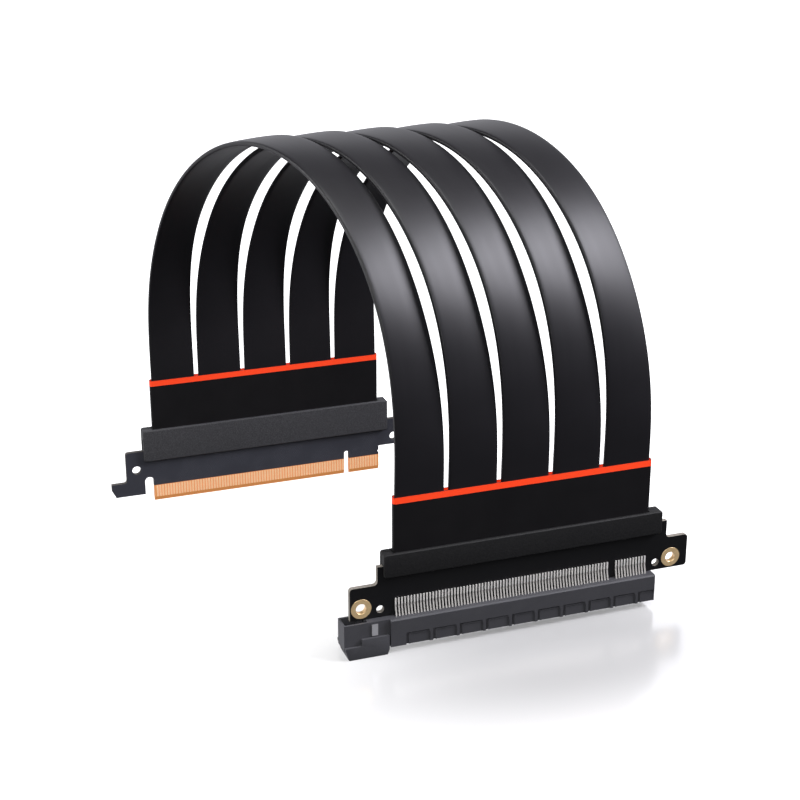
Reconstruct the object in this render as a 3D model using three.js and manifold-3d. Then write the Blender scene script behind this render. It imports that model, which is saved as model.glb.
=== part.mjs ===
// Riser cable for a sixteen-lane expansion card: a card-edge plug and a card slot,
// joined by five flat ribbons that arch from one to the other.
//
// Millimetres, +Z up. The plug stands at the origin with its contact tongue centred on X
// and its foot at Z = 0. The socket stands ahead of it (-Y) and to its right (+X).
// Both ends are drawn in an end frame of x, depth and height, where depth grows
// towards the viewer (-Y), so an end's front face has the larger depth.
import * as THREE from 'three';
import { mergeVertices } from 'three/addons/utils/BufferGeometryUtils.js';
import Module from 'manifold-3d';

const wasm = await Module();
wasm.setup();

// Card edge: the standard contact layout that the plug and the slot share
const CONTACT_PITCH = 1.0;
const CONTACTS_RIGHT_OF_KEY = 11;
const CONTACTS_LEFT_OF_KEY = 71;
const KEY_AT = 30.0;
const KEY_WIDTH = 1.9;
const KEY_TO_CONTACT = 1.5;
const TONGUE_MARGIN = 1.1;
const BOARD_THICKNESS = 1.57;
const FINGER_WIDTH = 0.7;
const FINGER_FOOT = 1.5;
const FINGER_TOP = 5.8;
const FINGER_RELIEF = 0.1;
const EDGE_BEVEL_HEIGHT = 1.4;
const EDGE_BEVEL_DEPTH = 0.45;

// Plug board
const KEY_HEIGHT = 9.0;
const SHOULDER_HEIGHT = 9.4;
const EAR_REACH = 52.3;
const EAR_TOP = 19.6;
const EAR_CORNER = 1.0;
const EAR_HOLE_FROM_END = 3.7;
const EAR_HOLE_HEIGHT = 12.6;
const EAR_HOLE_RADIUS = 1.6;
const HOOK_SLOT_WIDTH = 3.2;
const HOOK_SLOT_TOP = 9.4;
const HOOK_SLOT_CORNER = 1.5;
const HOOK_TIP = 57.8;
const HOOK_TOP = 8.1;
const HOOK_FOOT = 3.0;
const HOOK_TIP_CHAMFER = 1.4;
const HOOK_TIP_FACE_FOOT = 5.7;
const PLUG_BOARD_TOP = 24.0;
const EDGE_NICK_HEIGHT = 7.2;
const EDGE_NICK_RADIUS = 0.5;

// Socket board
const SOCKET_BOARD_LEFT = -55.8;
const SOCKET_BOARD_RIGHT = 56.4;
const SOCKET_NECK_LEFT = -47.1;
const SOCKET_NECK_RIGHT = 48.8;
const SOCKET_EAR_TOP = 19.8;
const SOCKET_BOARD_TOP = 25.7;
const NECK_FILLET = 1.2;
const EYELET_FROM_LEFT_END = 3.5;
const EYELET_FROM_RIGHT_END = 5.8;
const EYELET_HEIGHT = 12.8;
const EYELET_BORE = 1.65;
const EYELET_WALL = 0.1;
const EYELET_FLANGE = 3.2;
const EYELET_FLANGE_THICKNESS = 0.12;
const PEG_HOLE_LEFT_AT = -46.3;
const PEG_HOLE_RIGHT_AT = 45.4;
const PEG_HOLE_HEIGHT = 11.7;
const PEG_HOLE_RADIUS = 1.25;

// Where the socket stands, seen from the plug
const SOCKET_RIGHT = 45.0;
const SOCKET_AHEAD = 129.0;
const LATCH_DROP = 2.2;

// Ribbons
const RIBBON_COUNT = 5;
const RIBBON_PITCH = 16.9;
const RIBBON_WIDTH = 15.4;
const RIBBON_THICKNESS = 1.7;
const RIBBON_EDGE = 0.4;
const RIBBON_STATIONS = 26;
const TWIST_SHARE_PLUG = 0.23;
const TWIST_SHARE_SOCKET = 0.26;
// The arch's guide points: shares of the way to the socket and of the guide's height
const ARCH_GUIDE_HEIGHT = 188.2;
const ARCH_GUIDE = [
  [0, 0.4389],
  [-0.045, 0.6126],
  [0.224, 0.7837],
  [0.633, 1],
  [1.053, 0.7046],
  [1, 0.3932],
];
const LEG_THICKNESS = 0.35;
const LEG_LENGTH = 2.6;
const LEG_INSET = 0.6;

// Sleeves and covers
const SLEEVE_WALL = 0.2;
const SLEEVE_SIDE_ROOM = 0.5;
const SLEEVE_SEAT = 1.6;
const SLEEVE_EDGE_RADIUS = 0.76;
const COVER_HALF_DEPTH = 2.3;
const COVER_BEVEL = 0.3;
const COVER_CORNER = 0.5;
const COVER_WALL = 0.6;
const PLUG_COVER_LEFT = -45.9;
const PLUG_COVER_RIGHT = 45.7;
const PLUG_COVER_FOOT = 15.9;
const PLUG_COVER_TOP = 27.7;
const PLUG_SLEEVE_TOP = 45.9;
const SOCKET_COVER_LEFT = -45.4;
const SOCKET_COVER_RIGHT = 46.4;
const SOCKET_COVER_FOOT = 22.2;
const SOCKET_COVER_TOP = 29.9;
const SOCKET_SLEEVE_TOP = 47.5;

// Slot housing
const SLOT_END_WALL = 1.4;
const SLOT_HALF_DEPTH = 4.0;
const SLOT_HEIGHT = 9.0;
const SLOT_CHAMFER = 0.4;
const MOUTH_SIDE_ROOM = 0.115;
const MOUTH_END_ROOM = 0.25;
const MOUTH_DEPTH = 8.2;
const MOUTH_LEAD_IN = 0.5;
const KEY_RIB_ROOM = 0.1;
const WINDOW_COUNT = 10;
const FIRST_WINDOW_FROM_END = 4.9;
const WINDOW_PITCH = 8.6;
const WINDOW_WIDTH = 7.7;
const LAST_WINDOW_WIDTH = 5.8;
const WINDOW_HEIGHT = 4.0;
const WINDOW_DEPTH = 0.6;
const PAD_GROOVE = 0.9;
const PAD_RELIEF = 0.35;
const PAD_TOP_GAP = 0.4;
const PAD_FRAME = 0.4;
const PAD_HOLLOW = 0.12;
const RIB_FLARE = 1.0;
const END_LUG_REACH = 0.7;
const END_LUG_TOP = 3.6;
const END_LUG_FOOT = 0.5;
const END_LUG_HALF_DEPTH = 2.6;

// Slot contacts: the spring in the mouth and the tail on the board
const SPRING_WIDTH = 0.5;
const SPRING_FOOT = 2.4;
const SPRING_TOP = 5.6;
const SPRING_REACH = 0.35;
const TAIL_WIDTH = 0.45;
const TAIL_THICKNESS = 0.3;
const TAIL_ROOT_DEPTH = 1.75;
const TAIL_BEND_HEIGHT = 11.9;
const TAIL_TOP = 14.7;
const TAIL_GAP = 0.08;

// Latch block and lever
const BLOCK_END = 58.4;
const BLOCK_HALF_DEPTH = 3.0;
const BLOCK_FOOT_LIFT = 0.6;
const BLOCK_END_WALL = 0.5;
const BLOCK_SIDE_WALL = 0.7;
const HOOK_POCKET_ROOM = 0.3;
const HOOK_POCKET_HEIGHT = 5.4;
const GUIDE_RIB_AT = -48.8;
const GUIDE_RIB_WIDTH = 1.9;
const GUIDE_RIB_FOOT = 4.6;
const GUIDE_RIB_TOP = 8.4;
const GUIDE_RIB_RELIEF = 0.35;
const PIVOT_AT = -52.4;
const PIVOT_HEIGHT = 7.3;
const TRUNNION_RADIUS = 0.8;
const TRUNNION_LENGTH = 0.5;
const ARM_HALF_WIDTH = 1.2;
const ARM_THICKNESS = 0.9;
const LEVER_LEFT = -58.3;
const LEVER_LEFT_FOOT = -57.2;
const LEVER_STEP_AT = -53.2;
const LEVER_RIGHT = -44.4;
const LEVER_STEP_TOP = 4.2;
const LEVER_STRIP_TOP = 2.0;
const LEVER_FLOOR_THICKNESS = 1.8;
const LEVER_END_FACE = 0.8;
const LEVER_TOE_SLANT = 0.6;
const LEVER_TOE_RADIUS = 0.8;
const LEVER_FOOT_RADIUS = 0.4;
const LEVER_STEP_RADIUS = 0.3;
const CATCH_REACH = 1.1;

// Clearances
const GAP = 0.1;
const MOVING_GAP = 0.15;
const ARM_SWING_ROOM = 0.3;

// Making the solids: how far a cutting solid reaches past what it cuts, how finely
// arcs and round bars are stepped, and how close two corners are to count as one
const OVERCUT = 1.0;
const ARC_STEPS = 2;
const FINE_SIDES = 20;
const COARSE_SIDES = 12;
const WELD_DISTANCE = 1e-5;

// Values that follow from the sizes above
const TONGUE_RIGHT = KEY_AT + KEY_TO_CONTACT
  + (CONTACTS_RIGHT_OF_KEY - 1) * CONTACT_PITCH + TONGUE_MARGIN;
const TONGUE_LEFT = KEY_AT - KEY_TO_CONTACT
  - (CONTACTS_LEFT_OF_KEY - 1) * CONTACT_PITCH - TONGUE_MARGIN;
const HALF_BOARD = BOARD_THICKNESS / 2;
const HALF_RIBBON = RIBBON_THICKNESS / 2;
const RIBBONS_HALF_WIDTH = ((RIBBON_COUNT - 1) * RIBBON_PITCH + RIBBON_WIDTH) / 2;
const SLEEVE_INNER_HALF = HALF_RIBBON + GAP;
const SLEEVE_OUTER_HALF = SLEEVE_INNER_HALF + SLEEVE_WALL;
const SLEEVE_OUTER_WIDTH_HALF = RIBBONS_HALF_WIDTH + SLEEVE_SIDE_ROOM + SLEEVE_WALL;
const LEG_BACK = HALF_BOARD + GAP;
const LEG_FRONT = LEG_BACK + LEG_THICKNESS;
const SLOT_LEFT = TONGUE_LEFT - SLOT_END_WALL;
const SLOT_RIGHT = TONGUE_RIGHT + SLOT_END_WALL;
const SOCKET_BOARD_FOOT = SLOT_HEIGHT + GAP;
const CHANNEL_HALF = BLOCK_HALF_DEPTH - BLOCK_SIDE_WALL;
const EAR_HOLE_AT = EAR_REACH - EAR_HOLE_FROM_END;
const EYELET_LEFT_AT = SOCKET_BOARD_LEFT + EYELET_FROM_LEFT_END;
const EYELET_RIGHT_AT = SOCKET_BOARD_RIGHT - EYELET_FROM_RIGHT_END;
const SOCKET_PLACE = new THREE.Vector3(SOCKET_RIGHT, -SOCKET_AHEAD, LATCH_DROP);

const CONTACTS_AT = [];
for (let i = 0; i < CONTACTS_RIGHT_OF_KEY; i += 1) {
  CONTACTS_AT.push(KEY_AT + KEY_TO_CONTACT + i * CONTACT_PITCH);
}
for (let i = 0; i < CONTACTS_LEFT_OF_KEY; i += 1) {
  CONTACTS_AT.push(KEY_AT - KEY_TO_CONTACT - i * CONTACT_PITCH);
}

const FACES = {
  board: { color: 0x23252a, roughness: 0.55, metalness: 0.0 },
  cover: { color: 0x2b2b2d, roughness: 0.75, metalness: 0.0 },
  ribbon: { color: 0x1d1c20, roughness: 0.45, metalness: 0.0 },
  sleeve: { color: 0x19181b, roughness: 0.5, metalness: 0.0 },
  slot: { color: 0x4a4a50, roughness: 0.6, metalness: 0.0 },
  gold: { color: 0xd9a860, roughness: 0.3, metalness: 1.0 },
};

// Closed geometry to a solid, for joins and cuts
function solidOf(geometry) {
  const bare = geometry.clone();
  bare.deleteAttribute('normal');
  bare.deleteAttribute('uv');
  const merged = mergeVertices(bare, WELD_DISTANCE);
  return new wasm.Manifold(new wasm.Mesh({
    numProp: 3,
    vertProperties: new Float32Array(merged.attributes.position.array),
    triVerts: new Uint32Array(merged.index.array),
  }));
}

// A solid back to geometry
function geometryOf(solid) {
  const mesh = solid.getMesh();
  const geometry = new THREE.BufferGeometry();
  geometry.setAttribute('position', new THREE.BufferAttribute(mesh.vertProperties, 3));
  geometry.setIndex(new THREE.BufferAttribute(mesh.triVerts, 1));
  geometry.computeVertexNormals();
  return geometry;
}

function join(solids) {
  return solids.reduce((whole, next) => whole.add(next));
}

function cut(solid, tools) {
  return tools.reduce((rest, tool) => rest.subtract(tool), solid);
}

// Corners are [x, y] or [x, y, radius]; a radius rounds that corner with a true arc
function outline(corners) {
  const shape = new THREE.Shape();
  const count = corners.length;
  corners.forEach(([x, y, radius = 0], i) => {
    const at = new THREE.Vector2(x, y);
    const before = new THREE.Vector2(...corners[(i + count - 1) % count]).sub(at).normalize();
    const after = new THREE.Vector2(...corners[(i + 1) % count]).sub(at).normalize();
    const half = Math.acos(THREE.MathUtils.clamp(before.dot(after), -1, 1)) / 2;
    const start = at.clone().addScaledVector(before, radius / Math.tan(half));
    if (i === 0) {
      shape.moveTo(start.x, start.y);
    } else {
      shape.lineTo(start.x, start.y);
    }
    if (radius > 0) {
      const end = at.clone().addScaledVector(after, radius / Math.tan(half));
      const bisector = before.clone().add(after).normalize();
      const centre = at.clone().addScaledVector(bisector, radius / Math.sin(half));
      const turnsRight = after.cross(before) < 0;
      shape.absarc(
        centre.x,
        centre.y,
        radius,
        start.clone().sub(centre).angle(),
        end.clone().sub(centre).angle(),
        turnsRight,
      );
    }
  });
  return shape;
}

function rectangle(left, right, foot, top, radius = 0) {
  return outline([
    [left, foot, radius],
    [right, foot, radius],
    [right, top, radius],
    [left, top, radius],
  ]);
}

// Turns an extrusion's own axes into part axes
function turned(geometry, xAxis, yAxis, zAxis) {
  return geometry.applyMatrix4(new THREE.Matrix4().makeBasis(xAxis, yAxis, zAxis));
}

const RIGHT = new THREE.Vector3(1, 0, 0);
const LEFT = new THREE.Vector3(-1, 0, 0);
const AHEAD = new THREE.Vector3(0, -1, 0);
const UP = new THREE.Vector3(0, 0, 1);
const DOWN = new THREE.Vector3(0, 0, -1);

// An outline in x and height, from one depth to a larger one
function plate(shape, back, front) {
  const geometry = new THREE.ExtrudeGeometry(shape, {
    depth: front - back,
    bevelEnabled: false,
    curveSegments: ARC_STEPS,
  });
  geometry.translate(0, 0, back);
  return solidOf(turned(geometry, RIGHT, UP, AHEAD));
}

// An outline in depth and height, from one x to a larger one
function bar(shape, left, right) {
  const geometry = new THREE.ExtrudeGeometry(shape, {
    depth: right - left,
    bevelEnabled: false,
    curveSegments: ARC_STEPS,
  });
  geometry.translate(0, 0, -right);
  return solidOf(turned(geometry, AHEAD, UP, LEFT));
}

// An outline in x and depth, from one height to a larger one
function column(shape, foot, top) {
  const geometry = new THREE.ExtrudeGeometry(shape, {
    depth: top - foot,
    bevelEnabled: false,
    curveSegments: ARC_STEPS,
  });
  geometry.translate(0, 0, -top);
  return solidOf(turned(geometry, RIGHT, AHEAD, DOWN));
}

function block(left, right, back, front, foot, top) {
  return plate(rectangle(left, right, foot, top), back, front);
}

// A round bar along depth
function rod(x, height, radius, back, front, sides = FINE_SIDES) {
  const geometry = new THREE.CylinderGeometry(radius, radius, front - back, sides);
  geometry.translate(x, -(front + back) / 2, height);
  return solidOf(geometry);
}

function drill(x, height, radius) {
  return rod(x, height, radius, -BOARD_THICKNESS, BOARD_THICKNESS);
}

// The same solid on the other side of the end's middle plane
function mirrored(solid) {
  return solid.mirror([0, 1, 0]);
}

function bothSides(solid) {
  return join([solid, mirrored(solid)]);
}

// Plug board: tongue, key notch, hook, ears and plated fingers in one piece
function plugBoard() {
  const keyCentre = KEY_HEIGHT - KEY_WIDTH / 2;
  const slotLeft = TONGUE_LEFT - HOOK_SLOT_WIDTH;
  const neck = SLEEVE_OUTER_WIDTH_HALF;
  const board = plate(outline([
    [TONGUE_LEFT, 0],
    [TONGUE_RIGHT, 0],
    [TONGUE_RIGHT, SHOULDER_HEIGHT],
    [EAR_REACH, SHOULDER_HEIGHT, EAR_CORNER],
    [EAR_REACH, EAR_TOP, EAR_CORNER],
    [neck, EAR_TOP],
    [neck, PLUG_BOARD_TOP],
    [-neck, PLUG_BOARD_TOP],
    [-neck, EAR_TOP],
    [-EAR_REACH, EAR_TOP, EAR_CORNER],
    [-EAR_REACH, HOOK_TOP, EAR_CORNER],
    [-HOOK_TIP, HOOK_TOP],
    [-HOOK_TIP, HOOK_TIP_FACE_FOOT],
    [-HOOK_TIP + HOOK_TIP_CHAMFER, HOOK_FOOT],
    [slotLeft, HOOK_FOOT],
    [slotLeft, HOOK_SLOT_TOP, HOOK_SLOT_CORNER],
    [TONGUE_LEFT, HOOK_SLOT_TOP, HOOK_SLOT_CORNER],
  ]), -HALF_BOARD, HALF_BOARD);
  const key = join([
    block(
      KEY_AT - KEY_WIDTH / 2,
      KEY_AT + KEY_WIDTH / 2,
      -BOARD_THICKNESS,
      BOARD_THICKNESS,
      -OVERCUT,
      keyCentre,
    ),
    drill(KEY_AT, keyCentre, KEY_WIDTH / 2),
  ]);
  const bevel = bar(outline([
    [HALF_BOARD - EDGE_BEVEL_DEPTH, 0],
    [HALF_BOARD - EDGE_BEVEL_DEPTH, -OVERCUT],
    [HALF_BOARD + OVERCUT, -OVERCUT],
    [HALF_BOARD + OVERCUT, EDGE_BEVEL_HEIGHT],
    [HALF_BOARD, EDGE_BEVEL_HEIGHT],
  ]), TONGUE_LEFT - OVERCUT, TONGUE_RIGHT + OVERCUT);
  const shaped = cut(board, [
    key,
    bevel,
    mirrored(bevel),
    drill(-EAR_HOLE_AT, EAR_HOLE_HEIGHT, EAR_HOLE_RADIUS),
    drill(EAR_HOLE_AT, EAR_HOLE_HEIGHT, EAR_HOLE_RADIUS),
    drill(TONGUE_RIGHT, EDGE_NICK_HEIGHT, EDGE_NICK_RADIUS),
  ]);
  const fingers = CONTACTS_AT.map((x) => block(
    x - FINGER_WIDTH / 2,
    x + FINGER_WIDTH / 2,
    HALF_BOARD - FINGER_RELIEF,
    HALF_BOARD + FINGER_RELIEF,
    FINGER_FOOT,
    FINGER_TOP,
  ));
  return join([shaped, bothSides(join(fingers))]);
}

// Socket board: a neck under the cover, an ear each side, drilled for eyelets and pegs
function socketBoard() {
  const eyeletHole = EYELET_BORE + EYELET_WALL + GAP / 2;
  const board = plate(outline([
    [SOCKET_BOARD_LEFT, SOCKET_BOARD_FOOT],
    [SOCKET_BOARD_RIGHT, SOCKET_BOARD_FOOT, EAR_CORNER],
    [SOCKET_BOARD_RIGHT, SOCKET_EAR_TOP, EAR_CORNER],
    [SOCKET_NECK_RIGHT, SOCKET_EAR_TOP, NECK_FILLET],
    [SOCKET_NECK_RIGHT, SOCKET_BOARD_TOP],
    [SOCKET_NECK_LEFT, SOCKET_BOARD_TOP],
    [SOCKET_NECK_LEFT, SOCKET_EAR_TOP, NECK_FILLET],
    [SOCKET_BOARD_LEFT, SOCKET_EAR_TOP, EAR_CORNER],
  ]), -HALF_BOARD, HALF_BOARD);
  return cut(board, [
    drill(EYELET_LEFT_AT, EYELET_HEIGHT, eyeletHole),
    drill(EYELET_RIGHT_AT, EYELET_HEIGHT, eyeletHole),
    drill(PEG_HOLE_LEFT_AT, PEG_HOLE_HEIGHT, PEG_HOLE_RADIUS),
    drill(PEG_HOLE_RIGHT_AT, PEG_HOLE_HEIGHT, PEG_HOLE_RADIUS),
  ]);
}

// Plated eyelet: a barrel through the board with a flat flange on each face
function eyeletGeometry() {
  const seat = HALF_BOARD + GAP / 2;
  const face = seat + EYELET_FLANGE_THICKNESS;
  const barrel = EYELET_BORE + EYELET_WALL;
  const profile = [
    [EYELET_BORE, -face],
    [EYELET_FLANGE, -face],
    [EYELET_FLANGE, -seat],
    [barrel, -seat],
    [barrel, seat],
    [EYELET_FLANGE, seat],
    [EYELET_FLANGE, face],
    [EYELET_BORE, face],
    [EYELET_BORE, -face],
  ].map(([radius, along]) => new THREE.Vector2(radius, along));
  const lathe = new THREE.LatheGeometry(profile, FINE_SIDES);
  return geometryOf(solidOf(lathe));
}

// Cover shell: the front half of a two-part moulding that clamps the board and the sleeve
function coverFront({ left, right, foot, top, boardTop, boardLeft, boardRight }) {
  const skin = new THREE.ExtrudeGeometry(
    rectangle(
      left + COVER_BEVEL,
      right - COVER_BEVEL,
      foot + COVER_BEVEL,
      top - COVER_BEVEL,
      COVER_CORNER,
    ),
    {
      depth: 2 * (COVER_HALF_DEPTH - COVER_BEVEL),
      bevelThickness: COVER_BEVEL,
      bevelSize: COVER_BEVEL,
      bevelSegments: 1,
      curveSegments: ARC_STEPS,
    },
  );
  skin.translate(0, 0, COVER_BEVEL - COVER_HALF_DEPTH);
  const whole = solidOf(turned(skin, RIGHT, UP, AHEAD));
  const behindSplit = block(
    left - OVERCUT,
    right + OVERCUT,
    -COVER_HALF_DEPTH - OVERCUT,
    GAP / 2,
    foot - OVERCUT,
    top + OVERCUT,
  );
  const boardSeat = block(
    boardLeft - GAP,
    boardRight + GAP,
    -OVERCUT,
    HALF_BOARD + GAP,
    foot - OVERCUT,
    boardTop + GAP,
  );
  const solderRoom = block(
    -RIBBONS_HALF_WIDTH,
    RIBBONS_HALF_WIDTH,
    -OVERCUT,
    COVER_HALF_DEPTH - COVER_WALL,
    boardTop - LEG_LENGTH - GAP,
    top - SLEEVE_SEAT - GAP,
  );
  const sleeveMouth = block(
    -SLEEVE_OUTER_WIDTH_HALF - GAP,
    SLEEVE_OUTER_WIDTH_HALF + GAP,
    -OVERCUT,
    SLEEVE_OUTER_HALF + GAP,
    boardTop,
    top + OVERCUT,
  );
  return cut(whole, [behindSplit, boardSeat, solderRoom, sleeveMouth]);
}

const PLUG_COVER = {
  left: PLUG_COVER_LEFT,
  right: PLUG_COVER_RIGHT,
  foot: PLUG_COVER_FOOT,
  top: PLUG_COVER_TOP,
  boardTop: PLUG_BOARD_TOP,
  boardLeft: -EAR_REACH,
  boardRight: EAR_REACH,
};
const SOCKET_COVER = {
  left: SOCKET_COVER_LEFT,
  right: SOCKET_COVER_RIGHT,
  foot: SOCKET_COVER_FOOT,
  top: SOCKET_COVER_TOP,
  boardTop: SOCKET_BOARD_TOP,
  boardLeft: SOCKET_NECK_LEFT,
  boardRight: SOCKET_NECK_RIGHT,
};

// Sleeve: one flat band round all five ribbons, open at both ends
function sleeve(foot, top) {
  const outer = rectangle(
    -SLEEVE_OUTER_WIDTH_HALF,
    SLEEVE_OUTER_WIDTH_HALF,
    -SLEEVE_OUTER_HALF,
    SLEEVE_OUTER_HALF,
    SLEEVE_EDGE_RADIUS + SLEEVE_WALL,
  );
  const inner = rectangle(
    -SLEEVE_OUTER_WIDTH_HALF + SLEEVE_WALL,
    SLEEVE_OUTER_WIDTH_HALF - SLEEVE_WALL,
    -SLEEVE_INNER_HALF,
    SLEEVE_INNER_HALF,
    SLEEVE_EDGE_RADIUS,
  );
  return cut(column(outer, foot, top), [column(inner, foot - OVERCUT, top + OVERCUT)]);
}

// The ribbons' shared path, from the plug's foot to the socket's foot
const PLUG_RIBBON_FOOT = PLUG_BOARD_TOP + GAP;
const SOCKET_RIBBON_FOOT = SOCKET_BOARD_TOP + GAP + LATCH_DROP;

function easeIn(share) {
  const s = THREE.MathUtils.clamp(share, 0, 1);
  return s * s * (3 - 2 * s);
}

function ribbonPath() {
  const run = new THREE.Vector3(SOCKET_RIGHT, -SOCKET_AHEAD, 0);
  const arch = ARCH_GUIDE.map(([share, lift]) => [share, lift * ARCH_GUIDE_HEIGHT]);
  const guide = [[0, PLUG_SLEEVE_TOP], ...arch, [1, SOCKET_SLEEVE_TOP + LATCH_DROP]].map(
    ([share, height]) => run.clone().multiplyScalar(share).setZ(height),
  );
  const degree = guide.length - 1;
  const points = [];
  for (let i = 0; i <= RIBBON_STATIONS; i += 1) {
    const t = i / RIBBON_STATIONS;
    let level = guide.map((point) => point.clone());
    for (let step = 0; step < degree; step += 1) {
      level = level.slice(1).map((point, k) => level[k].clone().lerp(point, t));
    }
    points.push(level[0]);
  }
  return [
    new THREE.Vector3(0, 0, PLUG_RIBBON_FOOT),
    ...points,
    new THREE.Vector3(SOCKET_RIGHT, -SOCKET_AHEAD, SOCKET_RIBBON_FOOT),
  ];
}

// The flat strip: level across at both ends, and turned to face its way along the arch
function ribbonStrip() {
  const path = ribbonPath();
  const last = path.length - 1;
  const lengths = [0];
  for (let i = 1; i <= last; i += 1) {
    lengths.push(lengths[i - 1] + path[i].distanceTo(path[i - 1]));
  }
  const freeStart = lengths[1];
  const freeLength = lengths[last - 1] - freeStart;
  const heading = Math.atan2(SOCKET_RIGHT, SOCKET_AHEAD);
  const w = RIBBON_WIDTH / 2;
  const t = HALF_RIBBON;
  const e = RIBBON_EDGE;
  const section = [
    [w, -t + e],
    [w, t - e],
    [w - e, t],
    [e - w, t],
    [-w, t - e],
    [-w, e - t],
    [e - w, -t],
    [w - e, -t],
  ];
  const positions = [];
  path.forEach((point, i) => {
    const ahead = path[Math.min(i + 1, last)].clone().sub(path[Math.max(i - 1, 0)]).normalize();
    const share = (lengths[i] - freeStart) / freeLength;
    const turn = heading * easeIn(share / TWIST_SHARE_PLUG)
      * easeIn((1 - share) / TWIST_SHARE_SOCKET);
    const across = new THREE.Vector3(Math.cos(turn), Math.sin(turn), 0);
    across.addScaledVector(ahead, -across.dot(ahead)).normalize();
    const outward = ahead.clone().cross(across);
    section.forEach(([along, out]) => {
      const corner = point.clone().addScaledVector(across, along).addScaledVector(outward, out);
      positions.push(corner.x, corner.y, corner.z);
    });
  });
  const sides = section.length;
  const faces = [];
  for (let i = 0; i < last; i += 1) {
    for (let j = 0; j < sides; j += 1) {
      const a = i * sides + j;
      const b = i * sides + ((j + 1) % sides);
      faces.push(a, b, b + sides, a, b + sides, a + sides);
    }
  }
  const end = last * sides;
  for (let j = 1; j < sides - 1; j += 1) {
    faces.push(0, j + 1, j, end, end + j, end + j + 1);
  }
  const geometry = new THREE.BufferGeometry();
  geometry.setAttribute('position', new THREE.Float32BufferAttribute(positions, 3));
  geometry.setIndex(faces);
  return solidOf(geometry);
}

// The stripped wires that straddle a board's top edge and are soldered to both faces
function wireLegs(foot) {
  const half = RIBBON_WIDTH / 2 - LEG_INSET;
  const bridge = block(-half, half, -LEG_FRONT, LEG_FRONT, foot, foot + LEG_THICKNESS * 2);
  const leg = block(-half, half, LEG_BACK, LEG_FRONT, foot - LEG_LENGTH, foot + LEG_THICKNESS);
  return join([bridge, bothSides(leg)]);
}

function ribbonGeometry() {
  const plugLegs = wireLegs(PLUG_RIBBON_FOOT);
  const socketLegs = wireLegs(SOCKET_RIBBON_FOOT).translate([SOCKET_RIGHT, -SOCKET_AHEAD, 0]);
  return geometryOf(join([ribbonStrip(), plugLegs, socketLegs]));
}

// Slot housing: the long body with its mouth, key rib, moulded windows and latch block
function slotBody() {
  const body = bar(outline([
    [-SLOT_HALF_DEPTH, 0],
    [SLOT_HALF_DEPTH, 0],
    [SLOT_HALF_DEPTH, SLOT_HEIGHT - SLOT_CHAMFER],
    [SLOT_HALF_DEPTH - SLOT_CHAMFER, SLOT_HEIGHT],
    [SLOT_CHAMFER - SLOT_HALF_DEPTH, SLOT_HEIGHT],
    [-SLOT_HALF_DEPTH, SLOT_HEIGHT - SLOT_CHAMFER],
  ]), SLOT_LEFT, SLOT_RIGHT);
  const mouthHalf = HALF_BOARD + MOUTH_SIDE_ROOM;
  const mouthLeft = TONGUE_LEFT - MOUTH_END_ROOM;
  const mouthRight = TONGUE_RIGHT + MOUTH_END_ROOM;
  const mouth = bar(outline([
    [-mouthHalf - MOUTH_LEAD_IN - OVERCUT, -OVERCUT],
    [mouthHalf + MOUTH_LEAD_IN + OVERCUT, -OVERCUT],
    [mouthHalf, MOUTH_LEAD_IN],
    [mouthHalf, MOUTH_DEPTH],
    [-mouthHalf, MOUTH_DEPTH],
    [-mouthHalf, MOUTH_LEAD_IN],
  ]), mouthLeft, mouthRight);
  const keyHalf = KEY_WIDTH / 2 - KEY_RIB_ROOM;
  const keyRib = block(
    KEY_AT - keyHalf,
    KEY_AT + keyHalf,
    -mouthHalf - GAP,
    mouthHalf + GAP,
    MOUTH_LEAD_IN,
    MOUTH_DEPTH + GAP,
  );
  return join([cut(body, [mouth]), keyRib]);
}

// Moulded windows along the foot of one face: a recess whose top corners flare into the
// ribs, and in it a framed pad with a groove on its left
function slotWindows() {
  const recesses = [];
  const pads = [];
  const floor = SLOT_HALF_DEPTH - WINDOW_DEPTH;
  const face = floor + PAD_RELIEF;
  const padTop = WINDOW_HEIGHT - PAD_TOP_GAP;
  for (let i = 0; i < WINDOW_COUNT; i += 1) {
    const left = SLOT_LEFT + FIRST_WINDOW_FROM_END + i * WINDOW_PITCH;
    const right = left + (i < WINDOW_COUNT - 1 ? WINDOW_WIDTH : LAST_WINDOW_WIDTH);
    recesses.push(plate(outline([
      [left, -OVERCUT],
      [right, -OVERCUT],
      [right, WINDOW_HEIGHT - RIB_FLARE],
      [right - RIB_FLARE / 2, WINDOW_HEIGHT],
      [left, WINDOW_HEIGHT],
    ]), floor, SLOT_HALF_DEPTH + OVERCUT));
    const pad = block(left + PAD_GROOVE, right, floor - GAP, face, 0, padTop);
    const hollow = block(
      left + PAD_GROOVE + PAD_FRAME,
      right - PAD_FRAME,
      face - PAD_HOLLOW,
      face + OVERCUT,
      -OVERCUT,
      padTop - PAD_FRAME,
    );
    pads.push(cut(pad, [hollow]));
  }
  return { recesses: join(recesses), pads: join(pads) };
}

// The small lug at the foot of the housing's right end
function endLug() {
  return plate(outline([
    [SLOT_RIGHT - GAP, END_LUG_FOOT],
    [SLOT_RIGHT, END_LUG_FOOT],
    [SLOT_RIGHT + END_LUG_REACH, (END_LUG_FOOT + END_LUG_TOP) / 2],
    [SLOT_RIGHT, END_LUG_TOP],
    [SLOT_RIGHT - GAP, END_LUG_TOP],
  ]), -END_LUG_HALF_DEPTH, END_LUG_HALF_DEPTH);
}

// One contact of the front row: its spring tip in the mouth
function contactSpring(x) {
  const wall = HALF_BOARD + MOUTH_SIDE_ROOM;
  const root = wall + GAP;
  return bar(outline([
    [root, SPRING_FOOT],
    [root, SPRING_TOP],
    [wall - SPRING_REACH, (SPRING_FOOT + SPRING_TOP) / 2],
  ]), x - SPRING_WIDTH / 2, x + SPRING_WIDTH / 2);
}

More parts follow.
